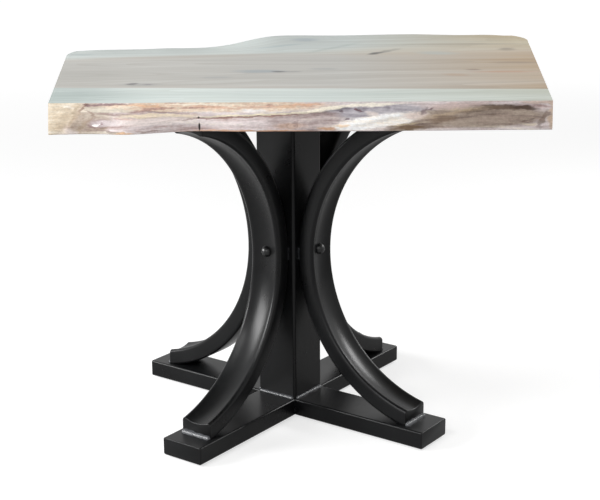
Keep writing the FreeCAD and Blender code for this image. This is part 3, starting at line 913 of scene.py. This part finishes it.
# %% Marks of the boards
# each mark: x, y, half length, half width, turn, strength, colour
heart_marks = [
    # the first mark is a broad patch that darkens the left end of the board
    (-0.520, -0.150, 0.240, 0.300, 0, 0.55, "#95938d"),
    (0.000, -0.335, 0.650, 0.030, -3.6, 0.45, "#a2968a"),
    (-0.333, -0.284, 0.060, 0.030, 0, 0.55, "#86868a"),
    (-0.349, -0.278, 0.017, 0.022, 0, 0.95, "#4d4a4c"),
    (-0.318, -0.284, 0.012, 0.014, 0, 0.7, "#68656a"),
    (-0.183, -0.196, 0.045, 0.022, 0, 0.5, "#868a8d"),
    (-0.100, -0.114, 0.080, 0.034, 0, 0.8, "#85929a"),
    (-0.058, -0.121, 0.024, 0.018, 0, 0.95, "#37373a"),
    (-0.032, -0.122, 0.030, 0.014, 0, 0.6, "#6b6b6e"),
    (0.035, -0.083, 0.042, 0.026, -5, 0.5, "#8a8e90"),
    (0.354, -0.107, 0.026, 0.020, 0, 0.8, "#7a6454"),
    (0.420, -0.141, 0.110, 0.022, 0, 0.7, "#b08060"),
    (0.308, -0.180, 0.045, 0.030, -30, 0.5, "#a88668"),
    (0.461, -0.004, 0.085, 0.026, 0, 0.6, "#7f6f5f"),
]
seam_marks = [
    (-0.270, 0.118, 0.600, 0.062, 8, 0.85, "#bcbab3"),
    (-0.270, 0.124, 0.420, 0.030, 8, 0.55, "#a2958a"),
    (0.330, 0.205, 0.460, 0.120, 4, 0.80, "#beb4a3"),
    (0.304, 0.160, 0.075, 0.045, -15, 0.55, "#a3b3b5"),
    (0.187, 0.194, 0.095, 0.018, 54.5, 0.7, "#6a6660"),
    (0.162, 0.161, 0.045, 0.015, 54.5, 1.0, "#2a2826"),
    (0.476, 0.221, 0.030, 0.040, -10, 0.75, "#6f6252"),
]
rear_marks = [
    (0.000, 0.425, 0.050, 0.050, 0, 0.6, "#8596a4"),
    (-0.058, 0.306, 0.110, 0.020, 41, 0.55, "#8fa3a6"),
    (0.070, 0.268, 0.170, 0.018, 55, 0.5, "#94a29c"),
    (0.390, 0.318, 0.210, 0.034, 0, 0.65, "#8d7f6c"),
    (0.430, 0.420, 0.160, 0.050, -8, 0.4, "#b9b09a"),
    (-0.520, 0.170, 0.040, 0.030, 0, 0.5, "#93a0a2"),
]
sap_marks = [
    # the first mark is a broad patch that darkens the left end of the board
    (-0.500, -0.420, 0.260, 0.200, 0, 1.0, "#98a3a0"),
    (-0.300, -0.447, 0.120, 0.014, 0, 0.25, "#9fb2ae"),
    (0.120, -0.417, 0.150, 0.014, -1, 0.22, "#9fb2ae"),
]
wood_front = hardwood("oiled_sapwood_front", "#d5ddd9", "#c6cfcb", "#b9c2bb", "#f6efe0",
                      0.05, 0.8, sap_marks, 1.7)
wood_middle = hardwood("oiled_heartwood_middle", "#c1c0bb", "#adaba5", "#a19c93", "#f2d3ae",
                       0.08, 1.0, heart_marks + seam_marks, 4.1)
wood_rear = hardwood("oiled_wood_rear", "#cdd5d2", "#bac1be", "#a8ada6", "#ecd0aa",
                     0.10, 1.0, seam_marks + rear_marks, 7.3, squeeze=2.4)
print("board finishes:", wood_front.name, wood_middle.name, wood_rear.name)

# %% [markdown]
# ## The natural edge
#
# Under its bark a log has a smooth, flowing skin: cream and pink sapwood with orange and brown
# streaks where the cambium dried, grey-purple patches where it was bruised or stained, and deep
# brown where a limb pulled the trunk in. It could be painted by hand on an unrolled map, but a
# built finish needs no map and stays sharp. The streaks follow the relief, so the colour reads
# the height that is stored on the mesh (the attribute "ridge") as well as noises drawn out along
# the grain, and they bend round the knots. That height also carries painted light: the rib is
# lighter as a painted highlight, and the grooves under the upper layer and the shelf are darker
# as painted shade. Broad zones and single streaks lie where the photograph has them, set by their
# place along the edge and their depth below the top. A few zones are painted light as well: a
# glint in the knot, highlights near the top and over the rib, a cream line lightened as a lit
# edge, and a shadow line under the upper layer.

# %% Colours of the natural edge
# ramps from the darkest streaks to the lightest
bare_skin = [(0.05, "#a8908c"), (0.25, "#c8b5b2"), (0.45, "#d9cccb"), (0.65, "#e3d8d6"),
             (0.9, "#eee3d4")]
orange_streaks = [(0.08, "#9a7f7d"), (0.24, "#cba896"), (0.36, "#e6d5c0"), (0.5, "#d8baa4"),
                  (0.62, "#ecdfcc"), (0.78, "#dbbba0"), (0.92, "#f2e8d6")]
brown_hollow = [(0.05, "#5a483e"), (0.3, "#85746a"), (0.5, "#9e8e81"), (0.7, "#b2a293"),
                (0.9, "#cbb8a0")]
stained = [(0.05, "#7e7780"), (0.3, "#a29ca3"), (0.5, "#b6b1b7"), (0.7, "#c9c3c6"),
           (0.9, "#e0d9d4")]
mauve = [(0.1, "#86726e"), (0.4, "#ab9996"), (0.6, "#c0b0ad"), (0.9, "#dacdc1")]
blond_end = [(0.1, "#b8a388"), (0.4, "#d3c1a8"), (0.6, "#e0d1ba"), (0.9, "#f6eddf")]
swirled = [(0.1, "#857263"), (0.4, "#ae9d8f"), (0.6, "#c0b3a5"), (0.9, "#dcd1c1")]
# a ramp for the painted highlight over the rib
painted_highlight = [(0.1, "#f2d8b6"), (0.3, "#fff4e4"), (0.8, "#ffffff")]
print("ramps:", len([bare_skin, orange_streaks, brown_hollow, stained, mauve, blond_end, swirled,
                     painted_highlight]))

# %% Natural edge finish
any_y = 20.0  # metres; a patch this deep holds wherever the skin lies from front to back


def round_a_knot(add, place, middle, half_length, half_height):
    """Bend the streaks round a knot, as water runs round a stone, and close them inside it."""
    local = add("Mapping", {"Vector": place, "Location": middle,
                            "Scale": (half_length, any_y, half_height)}, vector_type="TEXTURE")
    reach = add("VectorMath", {0: local}, operation="LENGTH").outputs["Value"]
    near = add("Math", {0: reach, 1: -2.0}, operation="POWER", use_clamp=True)
    push = add("VectorMath", {0: local, 1: (0, 0, -half_height)}, operation="MULTIPLY")
    eased = add("VectorMath", {0: push, 3: near}, operation="SCALE")
    bent = add("VectorMath", {0: place, 1: eased}, operation="ADD")
    inside = add("Math", {0: 1.0, 1: reach}, operation="SUBTRACT", use_clamp=True)
    rings = add("VectorMath", {0: (0, 0, 2.5 * half_height), 3: inside}, operation="SCALE")
    return add("VectorMath", {0: bent, 1: rings}, operation="ADD")


def streaked(add, place, knots):
    """Where the grain flows on the skin, its streaks, and the value that the colours read."""
    drift = drawn_out(add, place, (5.0, 8.0, 14.0), 2.0)
    flow = stray(add, place, drift, (0, 0, 24 * MM))
    for x, depth, half_length, half_height in knots:
        flow = round_a_knot(add, flow, (x, 0, slab_top - depth * MM), half_length,
                            half_height * MM)
    streaks = drawn_out(add, flow, (9.0, 12.0, 1 / (6 * MM)), 6.0, 0.66)
    mottle = add("TexNoise", {"Vector": place, "Scale": 1 / (9 * MM), "Detail": 4.0,
                              "Roughness": 0.7})
    # the ridge height carries a painted highlight on the rib and painted shade in the grooves under
    # the upper layer and the shelf
    ridge_and_painted_light = add("Attribute", attribute_name="ridge_and_painted_light", attribute_type="GEOMETRY").outputs["Fac"]
    value = -0.5
    for part, share in ((ridge_and_painted_light, 0.9), (streaks, 1.5), (mottle, 0.55)):
        value = add("Math", {0: part, 1: share, 2: value}, operation="MULTIPLY_ADD")
    value = add("Math", {0: value, 1: -0.475}, operation="ADD", use_clamp=True)
    return flow, streaks, value


def natural_edge(name, zones, knots, cracks):
    material, add, place = new_material(name)
    flow, streaks, value = streaked(add, place, knots)

    # the zones have ragged rims: a finer noise moves the place that they are read at
    ragged = stray(add, place, drawn_out(add, flow, (45.0, 20.0, 130.0), 5.0, 0.65),
                   (32 * MM, 0, 11 * MM))
    colour = add("ValToRGB", {"Fac": value}, bare_skin)
    for x, depth, half_length, half_height, rise, strength, finish in zones:
        full = 0.35 if isinstance(finish, list) else 0.6
        held = patch(add, ragged, (x, 0, slab_top - depth * MM),
                     (half_length, any_y, half_height * MM), (0, -rise, 0), 0.02, full, strength)
        if isinstance(finish, list):
            finish = add("ValToRGB", {"Fac": value}, finish)
        colour = add("Mix", {0: held, 6: colour, 7: finish}, data_type="RGBA").outputs[2]
    for x, depth, half_length, half_height, strength, dark in cracks:
        held = patch(add, place, (x, 0, slab_top - depth * MM),
                     (half_length, any_y, half_height * MM), (0, 0, 0), 0.02, 0.5, strength)
        colour = add("Mix", {0: held, 6: colour, 7: dark}, data_type="RGBA").outputs[2]

    # fine fibres and flecks lighten and darken all of it
    fibres = drawn_out(add, flow, (25.0, 60.0, 1 / (1.5 * MM)), 3.0)
    flecks = drawn_out(add, flow, (1 / (7 * MM), 100.0, 1 / (3 * MM)), 4.0, 0.7)
    for chance, low, high, darkest, lightest in ((fibres, 0.3, 0.7, 0.86, 1.08),
                                                 (flecks, 0.32, 0.68, 0.82, 1.12)):
        shade = add("MapRange", {"Value": chance, "From Min": low, "From Max": high,
                                 "To Min": darkest, "To Max": lightest})
        colour = add("VectorMath", {0: colour, 3: shade}, operation="SCALE")
    bump = add("Bump", {"Height": streaks, "Strength": 0.35, "Distance": 1.2 * MM})
    gloss = add("MapRange", {"Value": value, "To Min": 0.60, "To Max": 0.42})
    shader = add("BsdfPrincipled", {"Base Color": colour, "Roughness": gloss,
                                    "Specular IOR Level": 0.3, "Normal": bump})
    add("OutputMaterial", {"Surface": shader})
    return material


print("helpers of the edge:", [helper.__name__ for helper in (round_a_knot, streaked)])

# %% Zones of the natural edges
# each zone: x, depth below the top in mm, half length, half height in mm, rise to the right in
# degrees, strength, and one colour or a ramp of colours
front_zones = [
    (0.113, 18, 0.135, 19, 1, 1.0, stained),
    (0.318, 27, 0.150, 25, 0, 1.0, brown_hollow),
    (0.225, 37, 0.105, 12, 9, 1.0, brown_hollow),
    (-0.005, 31, 0.085, 22, 0, 0.85, mauve),
    (-0.185, 7, 0.270, 12, 0, 1.0, orange_streaks),
    (-0.400, 27, 0.050, 34, 0, 1.0, swirled),
    (-0.465, 0, 0.130, 52, 55, 1.0, blond_end),
    (-0.424, 20, 0.034, 5, 60, 0.45, "#a8907d"),
    (-0.412, 6, 0.016, 3.5, 50, 0.9, "#8d7466"),
    (-0.4265, 12, 0.020, 4, 62, 0.55, "#a39078"),
    (-0.432, 30, 0.014, 5, 70, 0.55, "#a08c76"),
    (-0.398, 18, 0.018, 2.4, -30, 0.7, "#957f72"),
    (-0.400, 27, 0.020, 2.4, 22, 0.6, "#9c8877"),
    (-0.395, 40, 0.022, 2.4, -22, 0.7, "#917c70"),
    (-0.415, 41, 0.016, 5, 60, 0.55, "#9d8a74"),
    # a painted highlight: a white spot near the top
    (-0.440, 6.5, 0.016, 2.8, -8, 0.8, "#fff8ec"),
    (-0.407, 3, 0.010, 3, 0, 0.9, "#6f564e"),
    (-0.437, 24, 0.060, 20, 62, 0.40, "#c0ae98"),
    (-0.362, 12, 0.056, 5.2, 0, 0.85, "#d3cbbb"),
    (-0.352, 18.5, 0.056, 2.2, -3, 0.75, "#96827c"),
    (-0.345, 23, 0.044, 2.6, -2, 0.6, "#dccfc4"),
    (-0.384, 33.5, 0.030, 11, 5, 0.75, "#8f787a"),
    (-0.366, 33, 0.044, 7.5, 0, 0.75, "#d3c8ca"),
    (-0.379, 34, 0.007, 2.6, 0, 0.8, "#8d7477"),
    # a painted glint in the knot
    (-0.387, 36.5, 0.008, 3.4, 0, 1.0, "#fffaf8"),
    (-0.368, 2.5, 0.060, 2.6, 2, 0.85, "#8a7073"),
    (-0.372, 46.5, 0.050, 2.0, -3, 0.85, "#8c7a74"),
    (-0.362, 49.5, 0.040, 3, 0, 0.6, "#cbc2b0"),
    (-0.338, 50.5, 0.026, 3.4, 0, 0.85, "#dfb48c"),
    (-0.290, 47.5, 0.040, 2.0, -1, 0.7, "#9d8480"),
    (-0.270, 16.5, 0.050, 2.4, -2, 0.75, "#96817e"),
    (-0.318, 27.5, 0.046, 2.2, -4, 0.6, "#c39a86"),
    # a cream streak, lightened as a painted lit edge above the groove under the upper layer
    (-0.275, 22.5, 0.100, 5.0, -1, 0.9, "#f2e1c6"),
    (-0.285, 31, 0.090, 10, 1, 0.85, "#efe2dd"),
    (-0.300, 5, 0.050, 3, -4, 0.8, "#deb493"),
    (-0.172, 8, 0.064, 3, -3, 0.75, "#d6ac95"),
    (-0.190, 3, 0.090, 2.6, -1, 0.8, "#f4e9d6"),
    (-0.104, 14.5, 0.034, 3.4, 0, 0.9, "#f4efec"),
    (-0.090, 8, 0.080, 2.4, 2, 0.7, "#dab5a0"),
    (-0.040, 8, 0.026, 3.4, 2, 0.8, "#e3bd9e"),
    (-0.006, 4.5, 0.040, 3.4, 1, 0.9, "#dcb196"),
    (-0.035, 42, 0.036, 8, 0, 0.6, "#c6a48d"),
    (-0.023, 39, 0.007, 10, 8, 0.5, "#8a726a"),
    (0.010, 49, 0.016, 3.0, 0, 0.5, "#7c6765"),
    (-0.110, 51, 0.170, 3.0, 0, 0.8, "#cf9c74"),
    (0.038, 47.5, 0.022, 3.4, 0, 0.8, "#c89a72"),
    # a cream streak, lightened as a painted lit edge above the groove under the upper layer
    (-0.097, 22.2, 0.160, 3.2, 2.2, 1.0, "#f6ead0"),
    # a painted shadow line in the groove under the upper layer
    (-0.125, 26.4, 0.180, 2.0, 2.2, 0.85, "#97776c"),
    # a cream streak, lightened as a painted lit edge above the groove under the upper layer
    (0.034, 12, 0.085, 4.2, 7, 1.0, "#f8efdc"),
    # a painted highlight along the top
    (0.112, 5.5, 0.085, 4.4, 2, 1.0, "#f8f0e2"),
    # these three zones paint the highlight over the rib, and the warm spot after them is its warm
    # left end, also painted highlight
    (0.133, 34, 0.098, 14, 7, 1.0, painted_highlight),
    (0.080, 44, 0.040, 6, 4, 0.9, painted_highlight),
    (0.176, 29, 0.034, 7, 6, 0.9, painted_highlight),
    (0.062, 42, 0.018, 4, 0, 0.8, "#f3d3ae"),
    (0.0605, 17.8, 0.007, 2.8, 0, 0.8, "#6a5a60"),
    (0.0930, 14.4, 0.016, 2.8, -16, 0.9, "#6d5056"),
    (0.0697, 31, 0.006, 2.4, 0, 0.8, "#6a5a60"),
    (0.1165, 21, 0.016, 5.5, 0, 0.8, "#e6d9d2"),
    (0.196, 25, 0.034, 10, 0, 0.8, "#dcc8be"),
    (0.275, 7.5, 0.080, 8, 3, 0.8, "#cfb9b3"),
    (0.262, 21.0, 0.078, 4.6, 9, 0.5, "#c0a88c"),
    (0.246, 31, 0.040, 9, 5, 0.6, "#7d6550"),
    (0.185, 46, 0.040, 5.5, 4, 0.85, "#6f5840"),
    (0.270, 40, 0.060, 8, 5, 0.5, "#b8a798"),
    (0.175, 41.0, 0.038, 2.6, 6, 0.45, "#dcc8a2"),
    (0.2105, 19, 0.008, 5, 60, 0.6, "#7a666a"),
    (0.2225, 13.5, 0.014, 2.2, 20, 0.8, "#6f5b5c"),
    (0.345, 31, 0.050, 12, 8, 0.5, "#ab998c"),
    (0.366, 11.5, 0.076, 6.0, -2, 0.75, "#5a4638"),
    (0.318, 15.5, 0.060, 4.6, 8, 0.55, "#6e5a4a"),
    (0.396, 12.5, 0.034, 5.5, -3, 0.85, "#48372c"),
    (0.3944, 35, 0.009, 2.2, 8, 0.5, "#5f4a42"),
    (0.4108, 33, 0.008, 2.0, 15, 0.5, "#5f4a42"),
    (0.4075, 42, 0.022, 2.8, 2, 0.5, "#ddceb2"),
    (0.4325, 31.5, 0.024, 8, 61, 0.65, "#6b5443"),
    (0.449, 26, 0.010, 40, 0, 0.7, "#c6ab8d"),
    (0.430, 2.5, 0.055, 4, 0, 0.8, "#d8c0b2"),
]
# knots that turn the streaks: x, depth in mm, half length, half height in mm
front_knots = [(-0.372, 33, 0.030, 7.0), (-0.026, 42, 0.013, 5.0), (0.2105, 20, 0.013, 4.5),
               (0.402, 34, 0.014, 3.5)]
rear_knots = [(-0.165, 30, 0.030, 7.0), (0.420, 20, 0.020, 5.0)]
# drying cracks: x, depth in mm, half length, half height in mm, strength, colour
front_cracks = [(-0.2003, 43.5, 0.0027, 10, 1.0, "#1d1615"),
                (-0.2013, 26.8, 0.0026, 2.8, 0.9, "#3a2d2b")]
rear_zones = [
    (-0.160, 24, 0.150, 20, 0, 0.9, stained),
    (0.300, 36, 0.180, 16, 3, 0.8, brown_hollow),
    (0.050, 8, 0.300, 12, 0, 0.9, orange_streaks),
    (-0.400, 20, 0.120, 18, 2, 0.8, orange_streaks),
    (0.120, 28, 0.200, 4, 2, 0.9, "#edd7ae"),
    (-0.165, 30, 0.020, 7, 0, 0.8, "#5c504e"),
    (0.420, 20, 0.030, 8, 10, 0.7, "#5f4b3d"),
]
live_edge = natural_edge("debarked_natural_edge_front", front_zones, front_knots, front_cracks)
live_edge_rear = natural_edge("debarked_natural_edge_rear", rear_zones, rear_knots, [])
print("edge finishes:", live_edge.name, live_edge_rear.name, "zones:",
      len(front_zones) + len(rear_zones))

# %% [markdown]
# ## Dressing the part
#
# Every piece of the CAD model gets the finish of its slot, and each piece modelled here gets its
# finishes, is told which body it rides on, and hides the CAD nodes that it stands for. It could be
# done where each piece is made, but in one place it is easy to see that none is left bare.

# %% Give all pieces their finish
def dress(piece, slot_name, replaced, *materials):
    """Give a finished piece its materials and its body, and hide the nodes that it stands for; the
    slot name is not used.
    """
    slots = [face.material_index for face in piece.data.polygons]
    piece.data.materials.clear()
    for material in materials:
        piece.data.materials.append(material)
    piece.data.polygons.foreach_set("material_index", slots)
    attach(piece, "table")
    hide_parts(*replaced)
    print(piece.name, "has", len(piece.data.polygons), "faces")


finishes = {"slab_wood": wood_middle, "steel_black": steel_black, "weld_black": weld_black,
            "bolt_black": bolt_black, "zinc_steel": zinc_steel, "pad_nylon": pad_nylon}
for part in frame["record"]["subparts"]:
    piece = nodes[part["node"]]
    piece.data.materials.clear()
    piece.data.materials.append(finishes[part["material_slot"]])
for piece, node in steel_pieces:
    dress(piece, "steel_black", [node], steel_black)
for piece, node in weld_pieces:
    dress(piece, "weld_black", [node], weld_black)
dress(front_board, "slab_wood", ["top_board_front"], wood_front, live_edge)
dress(rear_board, "slab_wood", ["top_board_rear"], wood_rear, live_edge_rear)

# %% [markdown]
# ## Light and floor
#
# The table was photographed in soft light on white. The white could come from strong lamps, but
# they would wash the pale wood out. So the floor is a large pale plane whose own faint glow, seen
# by the camera and in reflections only, takes it to white. The light on the object stays at a
# plain level and the floor keeps the object's shadow. A large soft lamp on the left draws the
# long highlight down the bowed legs, and a weaker one on the right, behind, draws its pair. One
# from high up lights the slab and the feet, and one beside the camera lights the front edge.

# %% Floor and world
floor_glow_near, floor_glow_far = 0.63, 0.95  # the glow rises between two distances in metres
glow_from, glow_to = 1.5, 6.0
floor_mirrored = 0.35                         # how much of the glow the steel reflects
world_light = 0.20


def seen_rays(add, mirrored):
    """1 for rays from the camera or through glass, a share for mirrored rays, 0 for light."""
    rays = add("LightPath").outputs
    glossy = add("Math", {0: rays["Is Glossy Ray"], 1: mirrored}, operation="MULTIPLY")
    seen = add("Math", {0: rays["Is Camera Ray"], 1: glossy}, operation="MAXIMUM")
    return add("Math", {0: seen, 1: rays["Is Transmission Ray"]}, operation="MAXIMUM")


def pale_floor(name):
    material, add, place = new_material(name)
    away = add("VectorMath", {0: place}, operation="LENGTH").outputs["Value"]
    wanted = add("MapRange", {"Value": away, "From Min": glow_from, "From Max": glow_to,
                              "To Min": floor_glow_near, "To Max": floor_glow_far})
    glow = add("Math", {0: seen_rays(add, floor_mirrored), 1: wanted}, operation="MULTIPLY")
    cloud = add("TexNoise", {"Scale": 30.0, "Detail": 2.0})
    tone = add("ValToRGB", {"Fac": cloud}, [(0.3, "#b5b5b5"), (0.7, "#b9b9b9")])
    matt = add("BsdfDiffuse", {"Color": tone})
    shine = add("Emission", {"Color": "#ffffff", "Strength": glow})
    both = add("AddShader", {0: matt, 1: shine})
    add("OutputMaterial", {"Surface": both})
    return material


floor = start(bpy.ops.mesh.primitive_plane_add, "studio_floor", (1, 1, 1), size=60)
floor.data.materials.append(pale_floor("studio_floor_paint"))

world = bpy.data.worlds.new("studio_white")
bpy.context.scene.world = world
world.use_nodes = True
world.node_tree.nodes.clear()
add = partial(add_node, world.node_tree)
level = add("MapRange", {"Value": seen_rays(add, 1.0), "To Min": world_light, "To Max": 1.0})
sky = add("Background", {"Color": "#ffffff", "Strength": level})
add("OutputWorld", {"Surface": sky})
print("floor and world:", floor.name, world.name)

# %% Lamps
# each row: name, place, target, width, height, watts
lamp_rows = [
    ("lamp_left", (-2.8, -0.55, 1.35), (0, -0.1, 0.4), 1.9, 0.95, 118),
    ("lamp_right", (2.2, 1.1, 1.6), (0, -0.1, 0.4), 1.1, 0.6, 38),
    ("lamp_high", (-1.5, -1.9, 2.6), (-0.2, -0.3, 0.2), 1.0, 0.7, 33),
    ("lamp_front", (-0.6, -3.6, 1.9), (0, -0.3, 0.5), 1.8, 1.2, 28),
]
for name, place, target, width, height, watts in lamp_rows:
    lamp_data = bpy.data.lights.new(name, "AREA")
    lamp_data.shape = "RECTANGLE"
    lamp_data.size = width
    lamp_data.size_y = height
    lamp_data.energy = watts
    lamp = bpy.data.objects.new(name, lamp_data)
    bpy.context.scene.collection.objects.link(lamp)
    lamp.location = place
    gaze = Vector(target) - Vector(place)
    lamp.rotation_euler = gaze.to_track_quat("-Z", "Y").to_euler()
